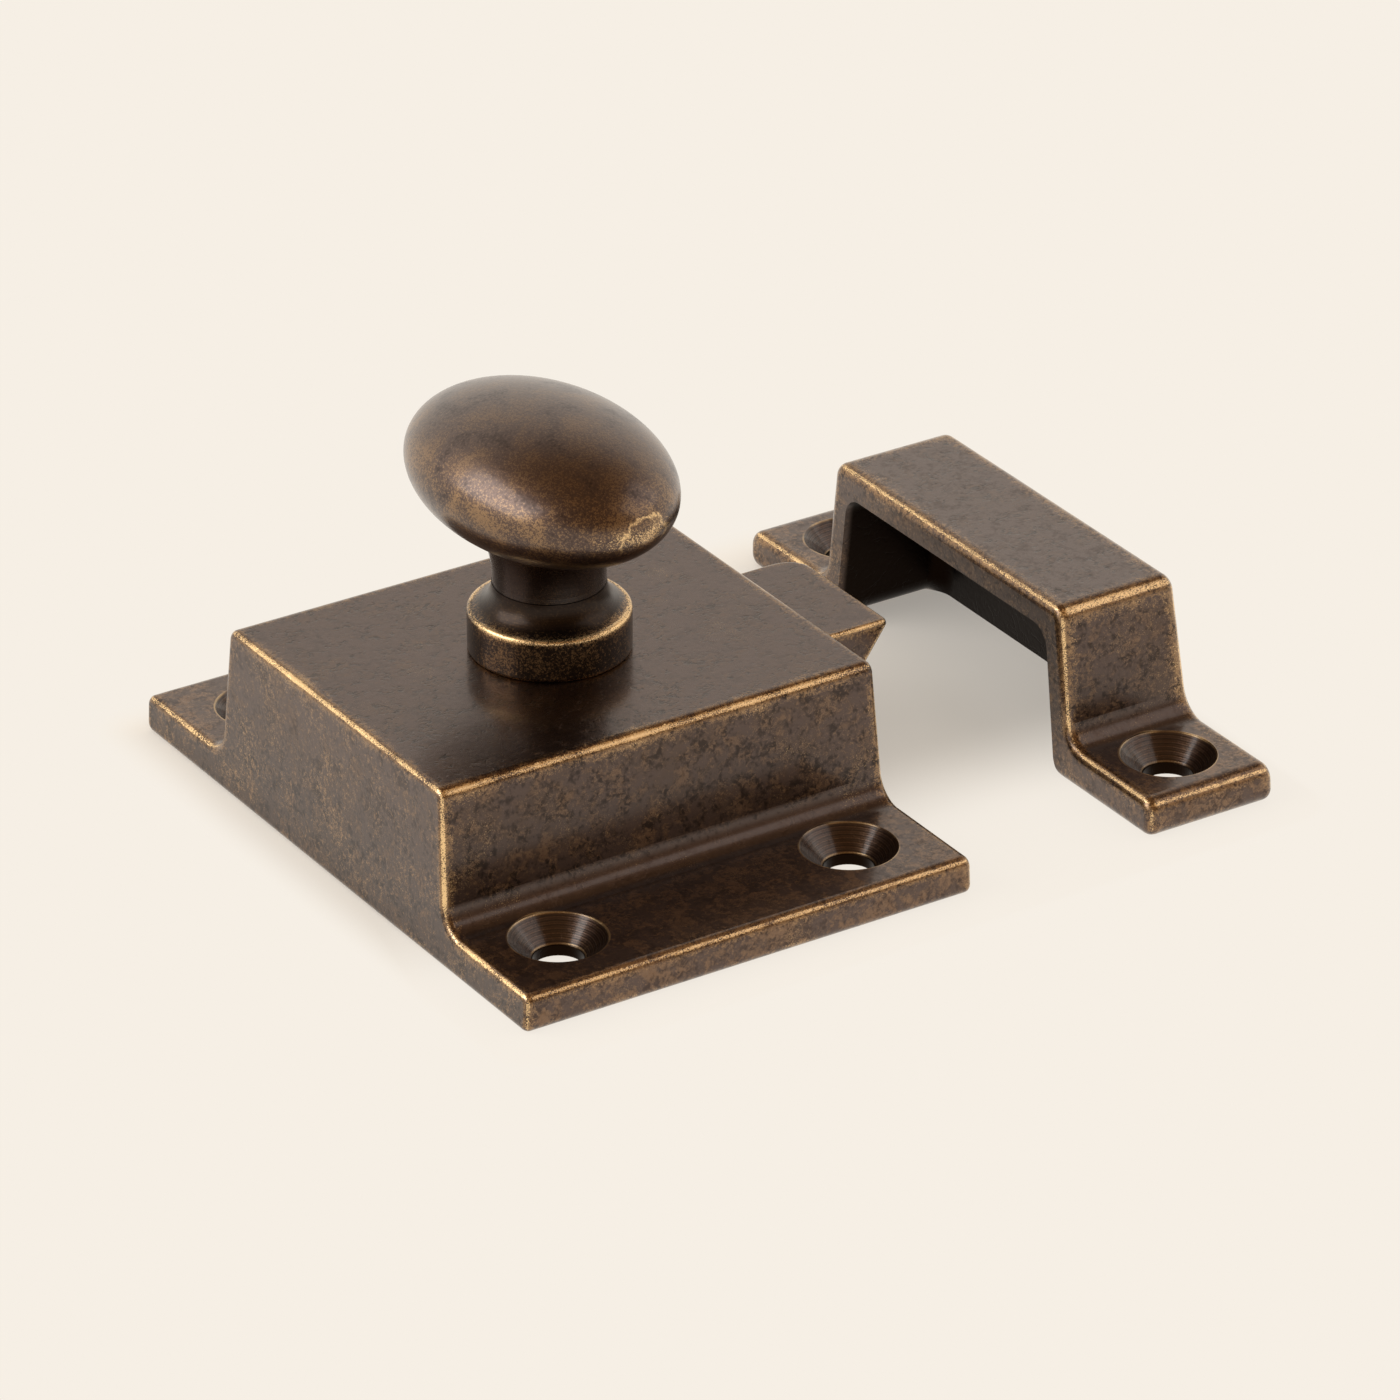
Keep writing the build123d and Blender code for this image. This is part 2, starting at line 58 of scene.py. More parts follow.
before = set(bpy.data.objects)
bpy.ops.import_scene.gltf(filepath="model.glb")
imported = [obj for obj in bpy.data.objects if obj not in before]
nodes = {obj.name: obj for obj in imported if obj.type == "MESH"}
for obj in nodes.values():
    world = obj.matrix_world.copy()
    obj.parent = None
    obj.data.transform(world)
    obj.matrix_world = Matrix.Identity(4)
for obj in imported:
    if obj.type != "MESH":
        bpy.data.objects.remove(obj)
cad_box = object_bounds()

# The case: its length and height come from the frame, its section from these sizes
_, case_half_length, case_height = np.array(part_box("case")[1]) / MM
case_half_width = 20.85
body_top_half = 16.6
side_draft = math.radians(5.0)
end_draft = math.radians(2.6)
flange_thickness = 3.3
case_root_radius = 2.2
case_edge_radii = {"top": 1.0, "foot": 0.9, "sole": 0.85, "end": 0.6}
case_hole = (13.6, 23.0)
countersink_radius = 4.0
screw_hole_radius = 2.05

# The strike, which stands beside the case
strike_low, strike_high = (np.array(corner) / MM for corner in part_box("strike"))
strike_middle = (strike_low + strike_high) / 2
strike_half_length = (strike_high[1] - strike_low[1]) / 2
strike_height = strike_high[2]
strike_back = 50.21
strike_top_half = 16.5
strike_draft = math.radians(7.5)
strike_back_draft = math.radians(4.2)
strike_foot = 3.4
strike_leg = 2.3
strike_bridge = 2.5
strike_root_radius = 2.2
strike_edge_radii = {"top": 1.4, "foot": 1.4, "sole": 1.2, "end": 0.9}
strike_hole = 23.3

# How far from an edge its rubbed brass reaches
rub = 1.8
case_end_rub = 1.6
foot_rub = 1.3
sole_rub = 1.2
strike_top_rub = 2.5
strike_end_rub = 2.3
mouth_rub = 0.9
bolt_rub = 1.4
nose_rub = 1.0
collar_rim_rub = 1.7
collar_foot_rub = 0.8

# The bolt's nose
bolt_tip, _, bolt_top = np.array(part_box("bolt")[1]) / MM
bolt_half_width = 6.85
bolt_edge_radius = 0.4
nose_bevel = math.radians(35.0)

# The knob and its collar, turned about the Z axis
head_half_height = 5.9
head_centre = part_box("knob")[1][2] / MM - head_half_height
collar_radius = 6.65
collar_rim = 18.75
collar_edge_radius = 0.35
held_mark = (0.6, -13.4, 29.6)
held_reach = 2.3

# The springs, seated between the case's corner block and the bolt's ears
spring_box = {side: [np.array(c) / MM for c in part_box(f"{side}_spring")] for side in ("left", "right")}
wire_radius = 0.25
spring_radius = 2.05
spring_turns = 11
closed_turns = 1.0
blend_turns = 0.5
closed_pitch = 0.28


class Field:
    """A number that varies over a surface: a shader socket that can be written in arithmetic."""

    def __init__(self, tree, socket):
        self.tree, self.socket = tree, socket

    def math(self, operation, *others):
        node = self.tree.nodes.new("ShaderNodeMath")
        node.operation = operation
        for slot, value in zip(node.inputs, (self, *others)):
            if isinstance(value, Field):
                self.tree.links.new(value.socket, slot)
            else:
                slot.default_value = value
        return Field(self.tree, node.outputs[0])

    def __add__(self, other):
        return self.math("ADD", other)

    def __sub__(self, other):
        return self.math("SUBTRACT", other)

    def __mul__(self, other):
        return self.math("MULTIPLY", other)

    def __rsub__(self, other):
        return self.math("MULTIPLY_ADD", -1.0, other)

    def __abs__(self):
        return self.math("ABSOLUTE")

    __radd__, __rmul__ = __add__, __mul__

    def least(self, other):
        return self.math("MINIMUM", other)

    def most(self, other):
        return self.math("MAXIMUM", other)

    def from_axis(self, other):
        """The distance from an axis, given this and the other distance square to it."""
        return (self * self + other * other).math("SQRT")

    def step(self, low, high):
        """A soft step: 0 at low, 1 at high, smooth between them, in either order."""
        node = self.tree.nodes.new("ShaderNodeMapRange")
        node.interpolation_type = "SMOOTHSTEP"
        node.inputs["From Min"].default_value = low
        node.inputs["From Max"].default_value = high
        self.tree.links.new(self.socket, node.inputs["Value"])
        return Field(self.tree, node.outputs["Result"])


class Finish:
    """A material being made: its node tree, and the surface point in millimetres as three fields."""

    def __init__(self, name):
        self.material = bpy.data.materials.new(name)
        self.material.use_nodes = True
        self.tree = self.material.node_tree
        self.shader = self.tree.nodes["Principled BSDF"]
        place = self.tree.nodes.new("ShaderNodeTexCoord")
        self.point = self.scaled(place.outputs["Object"], (1 / MM,) * 3)
        parts = self.tree.nodes.new("ShaderNodeSeparateXYZ")
        self.tree.links.new(self.point, parts.inputs[0])
        self.x, self.y, self.z = (Field(self.tree, socket) for socket in parts.outputs)

    def scaled(self, vector, factors):
        node = self.tree.nodes.new("ShaderNodeVectorMath")
        node.operation = "MULTIPLY"
        self.tree.links.new(vector, node.inputs[0])
        node.inputs[1].default_value = factors
        return node.outputs[0]

    def noise(self, size, detail=2.0, stretch=(1, 1, 1), distortion=0.0):
        """Noise whose spots are about size millimetres across, drawn out along the stretched axes."""
        node = self.tree.nodes.new("ShaderNodeTexNoise")
        factors = tuple(1 / (size * along) for along in stretch)
        self.tree.links.new(self.scaled(self.point, factors), node.inputs["Vector"])
        node.inputs["Scale"].default_value = 1.0
        node.inputs["Detail"].default_value = detail
        node.inputs["Distortion"].default_value = distortion
        return Field(self.tree, node.outputs["Fac"])

    def layers(self, first, *rest):
        """One colour covered by others, each where its field is 1."""
        below = first
        for colour, field in rest:
            node = self.tree.nodes.new("ShaderNodeMix")
            node.data_type = "RGBA"
            self.tree.links.new(field.socket, node.inputs[0])
            for slot, value in ((node.inputs[6], below), (node.inputs[7], colour)):
                if isinstance(value, bpy.types.NodeSocket):
                    self.tree.links.new(value, slot)
                else:
                    slot.default_value = (*value, 1)
            below = node.outputs[2]
        return below

    def finished(self, colour, roughness, height, lacquer=None, lacquer_roughness=0.24):
        """Links the metal's colour, roughness, relief and lacquer. The relief's height is in millimetres, and
        the lacquer's own roughness is the same all over."""
        self.tree.links.new(colour, self.shader.inputs["Base Color"])
        self.tree.links.new(roughness.socket, self.shader.inputs["Roughness"])
        self.shader.inputs["Metallic"].default_value = 1.0
        if lacquer is not None:
            self.tree.links.new(lacquer.socket, self.shader.inputs["Coat Weight"])
            self.shader.inputs["Coat Roughness"].default_value = lacquer_roughness
        bump = self.tree.nodes.new("ShaderNodeBump")
        bump.inputs["Distance"].default_value = MM
        self.tree.links.new(height.socket, bump.inputs["Height"])
        self.tree.links.new(bump.outputs[0], self.shader.inputs["Normal"])
        return self.material


def either(choice, yes, no):
    """One field where choice is 1 and the other where it is 0."""
    return no + choice * (yes - no)


def rounded_union(one, other, radius):
    """How deep a point lies in two joined solids, from its depth in each, with a rounded inner corner."""
    reach = (one + radius).most(0.0).from_axis((other + radius).most(0.0))
    return reach - (0.0 - one.most(other)).most(radius)


def rubbed(one, other, radius, reach=rub):
    """1 on the edge between two faces, given the depth below each and the edge's rounding, 0 past reach. On
    one face the greater depth is the distance from the edge."""
    return (one.most(other) - (1 - math.sqrt(0.5)) * radius).step(reach, 0.03)


Shape = namedtuple("Shape", "wear top end grime inside hole", defaults=(None,))
# What a casting's finish follows. Wear is 1 along an edge and falls to 0 beside it. The next four are above 0
# on its flat top, on its two ends, in its dull inner corners, and inside, where shade is painted as black
# patina without lacquer. Hole is the distance from the nearest screw hole's axis in millimetres.
Shape.__doc__ = """What a casting's finish follows. Wear is 1 along an edge and falls to 0 beside it. The next
four are above 0 on its flat top, on its two ends, in its dull inner corners, and inside, where no hand
reaches. Hole is the distance from the nearest screw hole's axis in millimetres."""


def hat_section(f, across, half_top, height, draft, foot, half_length, root_radius, radii, reach):
    """Depths below a hat section's faces, the wear along its long edges, and the dull fillets at its
    roots."""
    top = height - f.z
    side = half_top - across + top * math.tan(draft)
    foot_top, foot_end = foot - f.z, half_length - across
    profile = rounded_union(top.least(side), foot_top.least(foot_end), root_radius)
    wear = rubbed(top, side, radii["top"], reach).most(rubbed(foot_top, foot_end, radii["foot"], foot_rub))
    wear = wear.most(rubbed(f.z, foot_end, radii["sole"], sole_rub) * 0.7)
    grime = side.step(-2.9, -1.7) * foot_top.step(-2.6, -1.2) * f.z.step(foot - 1.0, foot - 0.2)
    return top, side, profile, wear, grime


def sole(f):
    """A distance added near the underside, where the screw holes have no countersink."""
    return f.z.step(0.5, 0.1) * 10.0


def case_shape(f):
    """The case: a drafted hat section with four countersinks."""
    across, along = abs(f.y), abs(f.x)
    top, side, profile, wear, grime = hat_section(
        f, across, body_top_half, case_height, side_draft, flange_thickness, case_half_length,
        case_root_radius, case_edge_radii, rub,
    )
    end = case_half_width - along - f.z * math.tan(end_draft)
    on_end = end.step(0.4, 0.05)
    wear = wear.most(rubbed(profile, end, case_edge_radii["end"], case_end_rub))
    wear = wear.most(rubbed(f.z, end, case_edge_radii["end"]) * 0.6)
    # Painted shade: the case's hollow inner faces are made nearly black, with little lacquer.
    inside = top.step(1.5, 2.0) * side.step(1.2, 1.6) * end.step(1.2, 1.6)
    hole = (along - case_hole[0]).from_axis(across - case_hole[1]) + sole(f)
    return Shape(wear, top.step(0.5, 0.1), on_end, grime * (1.0 - on_end), inside * 0.85, hole)


def strike_shape(f):
    """The strike: a hat section with a closed back, open in front and below, and two countersinks."""
    across = abs(f.y - strike_middle[1])
    top, side, profile, wear, grime = hat_section(
        f, across, strike_top_half, strike_height, strike_draft, strike_foot, strike_half_length,
        strike_root_radius, strike_edge_radii, strike_top_rub,
    )
    mouth = f.x - strike_low[0]
    back = strike_back - f.x - f.z * math.tan(strike_back_draft)
    room = (f.z - (strike_height - strike_bridge)).most(strike_leg / math.cos(strike_draft) - side)
    for end in (mouth, back):
        # The factor makes the wear reach less far over an end than over the legs and the bridge
        wear = wear.most(rubbed(profile * 1.35, end, strike_edge_radii["end"], strike_end_rub))
        wear = wear.most(rubbed(f.z, end, strike_edge_radii["end"]) * 0.6)
    wear = wear.most(rubbed(room, mouth, 0.0, mouth_rub) * 0.2)
    # Painted shade: under the bridge, between the legs and in front of the back wall, the strike is black,
    # without lacquer.
    inside = room.step(0.9, 0.3) * mouth.step(0.1, 0.9) * back.step(0.6, 1.4)
    hole = (f.x - strike_middle[0]).from_axis(across - strike_hole) + sole(f)
    on_end = mouth.least(back).step(0.5, 0.1)
    # The strike's ends are darker than the case's, so they count for less
    return Shape(wear, top.step(0.5, 0.1), on_end * 0.3, grime * (1.0 - on_end), inside, hole)


def bolt_shape(f):
    """The bolt: a bevelled nose, rubbed on its edges, and a yoke that stays in the case."""
    top = bolt_top - f.z
    side = bolt_half_width - abs(f.y)
    bevel = (bolt_tip - f.x) * math.cos(nose_bevel) - top * math.sin(nose_bevel)
    wear = rubbed(top, side, bolt_edge_radius, bolt_rub).most(rubbed(side, bevel, bolt_edge_radius, nose_rub))
    wear = wear.most(rubbed(top, bevel, bolt_edge_radius, nose_rub))
    # Painted shade: the part of the bolt inside the case is nearly black, with little lacquer and no wear.
    inside = f.x.step(case_half_width - 1.0, case_half_width - 3.0)
    grime = bevel.step(0.6, 0.1) * top.step(0.4, 1.2)
    return Shape(wear * (1.0 - inside), top.step(0.3, 0.05), f.x * 0.0, grime, inside * 0.85)


DARK_PATINA = (0.092, 0.055, 0.041)
BROWN_PATINA = (0.090, 0.049, 0.028)
BLACK_PATINA = (0.010, 0.005, 0.0025)
FLECK = (0.19, 0.106, 0.056)
GOLD_FLECK = (0.36, 0.212, 0.095)
BRASS = (0.92, 0.63, 0.31)
PLATE_BRASS, DULL_PLATE = (0.43, 0.29, 0.135), (0.33, 0.22, 0.10)
STEEL, DULL_STEEL = (0.52, 0.51, 0.49), (0.36, 0.35, 0.34)
WIRE, DULL_WIRE = (0.46, 0.46, 0.47), (0.3, 0.3, 0.31)
LACQUER = 0.85
CASTING_LACQUER_ROUGHNESS = 0.16


def bared(wear, grain, stretch, start):
    """Bright brass along the middle of a rubbed edge, where wear is above start, broken into specks and
    into longer stretches."""
    core = wear.step(start, 1.0)
    specks = (core + (grain - 0.5) * 2.8 + (stretch - 0.5) * 1.8).step(0.55, 1.25)
    return specks * (0.3 + wear.step(0.3, 0.8) * 0.7)


def dusted(wear, grain, spots, stretch):
    """Golden specks that thin out to both sides of a rubbed edge."""
    return (wear * 0.85 + (spots - 0.5) * 1.5 + (grain - 0.5) * 1.5 + (stretch - 0.5) * 0.9).step(0.45, 1.05)


def lathe_rings(distance, patch, coarse, fine, shift):
    """Rings that the lathe left: the mean of a coarse and a fine sine of a distance along the work, the fine
    one shifted in patches."""
    return (distance * coarse).math("SINE") * 0.5 + (distance * fine + patch * shift).math("SINE") * 0.5


def cast_brass(name, shape_of, bright_start, top_loss):
    """Lacquered aged brass of a casting: brown patina with flecks, rubbed to bright brass along its edges.
    The flat top and the ends are the evenest, and the sides the most mottled. The brass is bright where wear
    is above bright_start, and the top has lost top_loss of its lacquer."""
    f = Finish(name)
    shape = shape_of(f)
    grain = f.noise(0.10, detail=1)
    spots = f.noise(0.38, detail=4, distortion=0.6)
    patch = f.noise(1.7, detail=4, distortion=0.8)
    stretch = f.noise(4.0, detail=2)
    mottled = 1.0 - shape.top * 0.70 - shape.end * 0.35
    wall = f.z.step(flange_thickness + 0.6, flange_thickness + 2.0) * (1.0 - shape.top.most(shape.end))
    flange = 1.0 - wall.most(shape.top).most(shape.end)
    flecks = spots * 0.9 + (patch - 0.5) * 1.2 + (grain - 0.5) * 0.35 + flange * 0.09
    flecks = flecks.step(0.44, 0.78) * (0.05 + mottled * 0.55 + flange * 0.40)
    flecks = flecks * (1.0 - shape.grime * 0.9)
    gilt = (spots + (stretch - 0.5) * 0.5 + (grain - 0.5) * 0.8).step(0.57, 0.78)
    gilt = gilt * (1.0 - shape.grime * 0.95) * (0.16 + shape.end * 0.66 + flange * 0.15 - shape.top * 0.20)
    brown = (f.noise(8.0) * 0.4 + patch * 0.6).step(0.40, 0.62)
    brown = brown * (1.0 - shape.top * 0.5) * (1.0 - shape.grime)
    blotch = (spots * 0.45 + f.noise(1.4, detail=4, distortion=0.8) * 0.55).step(0.52, 0.37)
    scratch = abs(f.noise(2.0, detail=3, distortion=0.8) - 0.5).step(0.022, 0.0) * patch.step(0.40, 0.56)
    pits = f.noise(0.46, detail=4, stretch=(1.5, 1, 1), distortion=1.1).step(0.47, 0.38)
    pits = pits * patch.step(0.44, 0.60) * shape.top
    # Painted reflection of the dark flange and shaded floor: the walls and the ends are darker towards the
    # bottom.
    low = f.z.step(12.0, 3.0) * wall.most(shape.end)
    black = blotch * (0.15 + mottled * 0.4 - flange * 0.2 + wall * 0.03) + wall * 0.12
    black = black + low * (0.14 + shape.end * 0.16)
    # Painted shade: the inside is made black.
    black = black.most((scratch * 0.5).most(pits * 0.75)).most(shape.inside).most(shape.grime * 0.30)
    worn = bared(shape.wear, grain, stretch, bright_start)
    dust = dusted(shape.wear, grain, spots, stretch).most(gilt) * 0.75
    height = f.noise(0.5, detail=3) * 0.016 + grain * 0.004 - scratch * 0.010 - pits * 0.026
    roughness = 0.26 + patch * 0.08 + grain * 0.10 - shape.top * 0.06
    # No lacquer, fleck or bright brass where shade is painted inside.
    shown = 1.0 - shape.inside
    if shape.hole is not None:
        cone = shape.hole.step(countersink_radius + 0.02, countersink_radius - 0.08)
        # Painted shade: the screw hole's bore is black, with no lacquer, fleck or bright brass.
        painted_shade_bore = shape.hole.step(screw_hole_radius + 0.15, screw_hole_radius + 0.02)
        rim = abs(shape.hole - countersink_radius).step(0.14, 0.03)
        rim = rim.most(abs(shape.hole - screw_hole_radius - 0.10).step(0.10, 0.02) * 0.7)
        turned = lathe_rings(shape.hole, patch, 21.0, 47.0, 6.0)
        flecks = either(cone, turned.step(0.3, 0.9) * grain.step(0.42, 0.6) * 0.4, flecks)
        black = either(cone, (0.42 - turned * 0.30).most(painted_shade_bore), black)
        worn = (worn * (1.0 - cone)).most(rim * stretch.step(0.35, 0.6) * (0.2 + grain * 0.5))
        dust = dust * (1.0 - cone)
        height = height + turned * cone * 0.012
        shown = shown * (1.0 - painted_shade_bore)
    colour = f.layers(
        DARK_PATINA,
        (BROWN_PATINA, brown),
        (BLACK_PATINA, black),
        (FLECK, flecks * shown),
        (GOLD_FLECK, dust * shown),
        (BRASS, worn * shown),
    )
    bare = (blotch * 0.3).most(shape.end * 0.12).most(shape.top * top_loss)
    return f.finished(colour, roughness, height, shown * (LACQUER - bare), CASTING_LACQUER_ROUGHNESS)


def knob_brass():
    """The knob: fine golden specks round its middle, a rubbed mark where fingers hold it, and a dark neck
    with the fine rings that the lathe left."""
    f = Finish("knob_brass")
    grain = f.noise(0.10, detail=1)
    spots = f.noise(0.22, detail=3)
    patch = f.noise(2.8, detail=4, distortion=0.5)
    waist = abs(f.z - (head_centre + 0.2)).step(4.0, 0.8)
    flecks = (spots + (patch - 0.5) * 1.0 + (grain - 0.5) * 1.0 + waist * 0.05).step(0.50, 0.74)
    neck = f.z.step(head_centre - 3.4, head_centre - 5.0)
    marks = lathe_rings(f.z, patch, 36.0, 83.0, 5.0)
    held = (f.x - held_mark[0]).from_axis(f.y - held_mark[1]).from_axis(f.z - held_mark[2])
    ragged = held + (f.noise(0.9, detail=4) - 0.5) * 2.0
    outline = abs(ragged - held_reach).step(0.26, 0.03) * f.z.step(head_centre - 1.6, head_centre - 0.4)
    smear = abs(f.z - head_centre + 0.2).step(1.5, 0.2) * held.step(8.0, held_reach)
    worn = (smear * 0.62 + (grain - 0.5) * 2.0 + (patch - 0.5) * 1.2).step(0.55, 1.15)
    worn = worn.most(outline * (0.35 + grain.step(0.40, 0.6) * 0.6))
    blotch = (spots * 0.4 + patch * 0.6).step(0.48, 0.33)
    colour = f.layers(
        DARK_PATINA,
        (BROWN_PATINA, patch.step(0.36, 0.62) * 0.7),
        (BLACK_PATINA, (neck * 0.80).most(blotch * 0.5)),
        (GOLD_FLECK, flecks * (0.27 + waist * 0.36 - neck * 0.2)),
        (BRASS, worn),
    )
    height = f.noise(0.42, detail=3) * 0.018 + grain * 0.006 + marks * neck * 0.003
    roughness = 0.28 + patch * 0.08 + grain * 0.12 - neck * 0.12
    return f.finished(colour, roughness, height, LACQUER - (blotch * 0.3).most(neck * 0.15))


def collar_brass():
    """The collar: dark, with lathe rings in its cove and a rubbed rim that fades in specks down its side."""
    f = Finish("collar_brass")
    radius = f.x.from_axis(f.y)
    grain = f.noise(0.10, detail=1)
    spots = f.noise(0.25, detail=3)
    patch = f.noise(3.0, detail=3)
    stretch = f.noise(3.5, detail=2)
    side, rim, foot = collar_radius - radius, collar_rim - f.z, f.z - case_height
    wear = rubbed(side, rim, collar_edge_radius, collar_rim_rub)
    wear = wear.most(rubbed(side, foot, 0.0, collar_foot_rub))
    marks = lathe_rings(f.z, patch, 36.0, 83.0, 5.0)
    cove = rim.step(0.0, -0.4)
    flecks = (spots + (patch - 0.5) * 0.6 + (grain - 0.5) * 0.9 + side.step(0.4, 0.1) * 0.04).step(0.50, 0.82)
    colour = f.layers(
        BROWN_PATINA,
        (BLACK_PATINA, 0.82 + cove * 0.06),
        (GOLD_FLECK, (flecks * 0.62).most(dusted(wear, grain, spots, stretch) * 0.8) * (1.0 - cove * 0.9)),
        (BRASS, bared(wear, grain, stretch, 0.80) * (1.0 - cove * 0.9)),
    )
    height = f.noise(0.7, detail=3) * 0.008 + grain * 0.004 + marks * cove * 0.004
    return f.finished(colour, 0.25 + patch * 0.10 + grain * 0.10, height, 0.52 - cove * 0.25)


def plain_metal(name, colour, dull, roughness, streak=(1, 1, 1)):
    """Unplated metal of the inner pieces: its own colour, duller in patches, with drawn streaks."""
    f = Finish(name)
    patch = f.noise(2.2, detail=3)
    streaks = f.noise(0.16, detail=2, stretch=streak)
    mixed = f.layers(colour, (dull, (patch * 0.4 + streaks * 0.6).step(0.36, 0.66)))
    return f.finished(mixed, roughness + patch * 0.14 + streaks * 0.08, streaks * 0.006)


def tube_mesh(name, points):
    """A mesh from a grid of points, rows along a tube by columns round it, closed round the columns."""
    rows, columns = points.shape[:2]
    index = np.arange(rows * columns).reshape(rows, columns)
    index = np.hstack([index, index[:, :1]])
    quads = np.stack([index[:-1, :-1], index[1:, :-1], index[1:, 1:], index[:-1, 1:]], -1).reshape(-1, 4)
    mesh = bpy.data.meshes.new(name)
    mesh.from_pydata((points.reshape(-1, 3) * MM).tolist(), [], quads.tolist())
    return mesh


def spring_surface(side, rings=700, sides=14):
    """A round wire carried along a helix about an axis parallel to X. The angle grows evenly, and the
    distance along the axis grows by a pitch that is small in the closed turn at each end and 1 more between
    them, scaled to fill the spring's box."""
    low, high = spring_box[side]
    axis_y, axis_z = (low[1:] + high[1:]) / 2
    share = np.linspace(0, 1, rings)
    turns = spring_turns + 2 * closed_turns
    past_closed = np.minimum(share, 1 - share) * turns - closed_turns
    pitch = np.clip(past_closed, 0, blend_turns) / blend_turns + closed_pitch
    climb = np.concatenate([[0], np.cumsum((pitch[1:] + pitch[:-1]) / 2)])
    along = low[0] + wire_radius + climb / climb[-1] * (high[0] - low[0] - 2 * wire_radius)
    angle = 2 * np.pi * turns * share
    outward = np.stack([0 * angle, np.cos(angle), np.sin(angle)], -1)
    centre = np.stack([along, 0 * angle + axis_y, 0 * angle + axis_z], -1) + spring_radius * outward
    forward = np.gradient(centre, axis=0)
    forward /= np.linalg.norm(forward, axis=1, keepdims=True)
    third = np.cross(forward, outward)
    around = 2 * np.pi * np.arange(sides) / sides
    ring = np.cos(around)[None, :, None] * outward[:, None] + np.sin(around)[None, :, None] * third[:, None]
    points = centre[:, None] + wire_radius * ring
    ends = np.repeat(centre[[0, -1], None], sides, axis=1)
    return np.concatenate([ends[:1], points, ends[1:]])


def show(name, mesh, material, body, slot, *replaced):
    """Makes a piece of a mesh, with its doubled points merged and its faces outward, that stands for CAD
    nodes."""
    merged = bmesh.new()
    merged.from_mesh(mesh)
    bmesh.ops.remove_doubles(merged, verts=merged.verts, dist=0.001 * MM)
    bmesh.ops.recalc_face_normals(merged, faces=merged.faces)
    merged.to_mesh(mesh)
    merged.free()
    piece = bpy.data.objects.new(name, mesh)
    bpy.context.scene.collection.objects.link(piece)
    mesh.materials.append(material)
    mesh.shade_smooth()
    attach(piece, body)
    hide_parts(*replaced)
    return piece


def dress(material, *names):
    """Gives CAD nodes a finish."""
    for name in names:
        for slot in nodes[name].material_slots:
            slot.material = material


# Castings, each with its shape, where its brass is bright and its top's loss of lacquer, and turned pieces
castings = (
    ("case", case_shape, 0.965, 0.25), ("strike", strike_shape, 0.97, 0.0), ("bolt", bolt_shape, 0.95, 0.25),
)
for name, shape_of, bright_start, top_loss in castings:
    dress(cast_brass(f"{name}_brass", shape_of, bright_start, top_loss), name)
dress(knob_brass(), "knob")
dress(collar_brass(), "bearing_collar")

# Inner and back pieces
plate_brass = plain_metal("plate_brass", PLATE_BRASS, DULL_PLATE, 0.34, streak=(14, 1, 1))
dress(plate_brass, "back_plate", "thrust_washer")
steel = plain_metal("turned_steel", STEEL, DULL_STEEL, 0.3, streak=(1, 1, 9))
dress(steel, "back_plate_screws", "spindle", "crank_arm", "crank_pin", "left_guide_pin", "right_guide_pin")
wire = plain_metal("spring_wire", WIRE, DULL_WIRE, 0.25)
dress(wire, "retaining_clip")

for side in ("left", "right"):
    low, high = spring_box[side]
    mesh = tube_mesh(f"{side}_spring_wire", spring_surface(side))
    spring = show(f"{side}_coil_spring", mesh, wire, "case_body", "spring_steel", f"{side}_spring")
    seat = ((low + high) / 2 * MM).tolist()
    seat[0] = low[0] * MM
    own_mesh(spring)


# The studio
CREAM = (0.922, 0.863, 0.783)
CEILING = (0.26, 0.150, 0.070)
floor_radius = 2000
floor_sides = 96
floor_drop = 0.02
shadow_reach = 4.5
front_fade = (6.0, 21.0)
softbox_distance_m = 0.7
softbox_aim_m = Vector((0.012, 0, 0.01))


def towards(azimuth, elevation):
    """The way out from the object; azimuth 0 is towards -Y and 90 towards +X."""
    a, e = math.radians(azimuth), math.radians(elevation)
    return Vector((math.sin(a) * math.cos(e), -math.cos(a) * math.cos(e), math.sin(e)))


def is_seen(tree):
    """1 for rays that show a surface: from the camera, or mirrored in metal."""
    path = tree.nodes.new("ShaderNodeLightPath")
    seen = Field(tree, path.outputs["Is Camera Ray"])
    return seen.most(Field(tree, path.outputs["Is Glossy Ray"]))


def make_world():
    """A cream surround, darker above the camera where a polished surface mirrors it, and softer as light
    on matt surfaces."""
    world = bpy.data.worlds.new("studio")
    bpy.context.scene.world = world
    world.use_nodes = True
    tree = world.node_tree
    light = tree.nodes["Background"]
    place = tree.nodes.new("ShaderNodeTexCoord")
    facing = tree.nodes.new("ShaderNodeVectorMath")
    facing.operation = "DOT_PRODUCT"
    facing.inputs[1].default_value = towards(0, 70)
    tree.links.new(place.outputs["Generated"], facing.inputs[0])
    path = tree.nodes.new("ShaderNodeLightPath")
    mirrored, matt = (Field(tree, path.outputs[ray]) for ray in ("Is Glossy Ray", "Is Diffuse Ray"))
    ceiling = Field(tree, facing.outputs["Value"]).step(0.30, 0.75) * mirrored
    shade = tree.nodes.new("ShaderNodeMix")
    shade.data_type = "RGBA"
    tree.links.new(ceiling.socket, shade.inputs[0])
    shade.inputs[6].default_value = (*CREAM, 1)
    shade.inputs[7].default_value = (*CEILING, 1)
    tree.links.new(shade.outputs[2], light.inputs["Color"])
    tree.links.new((1.0 - matt * 0.25).socket, light.inputs["Strength"])


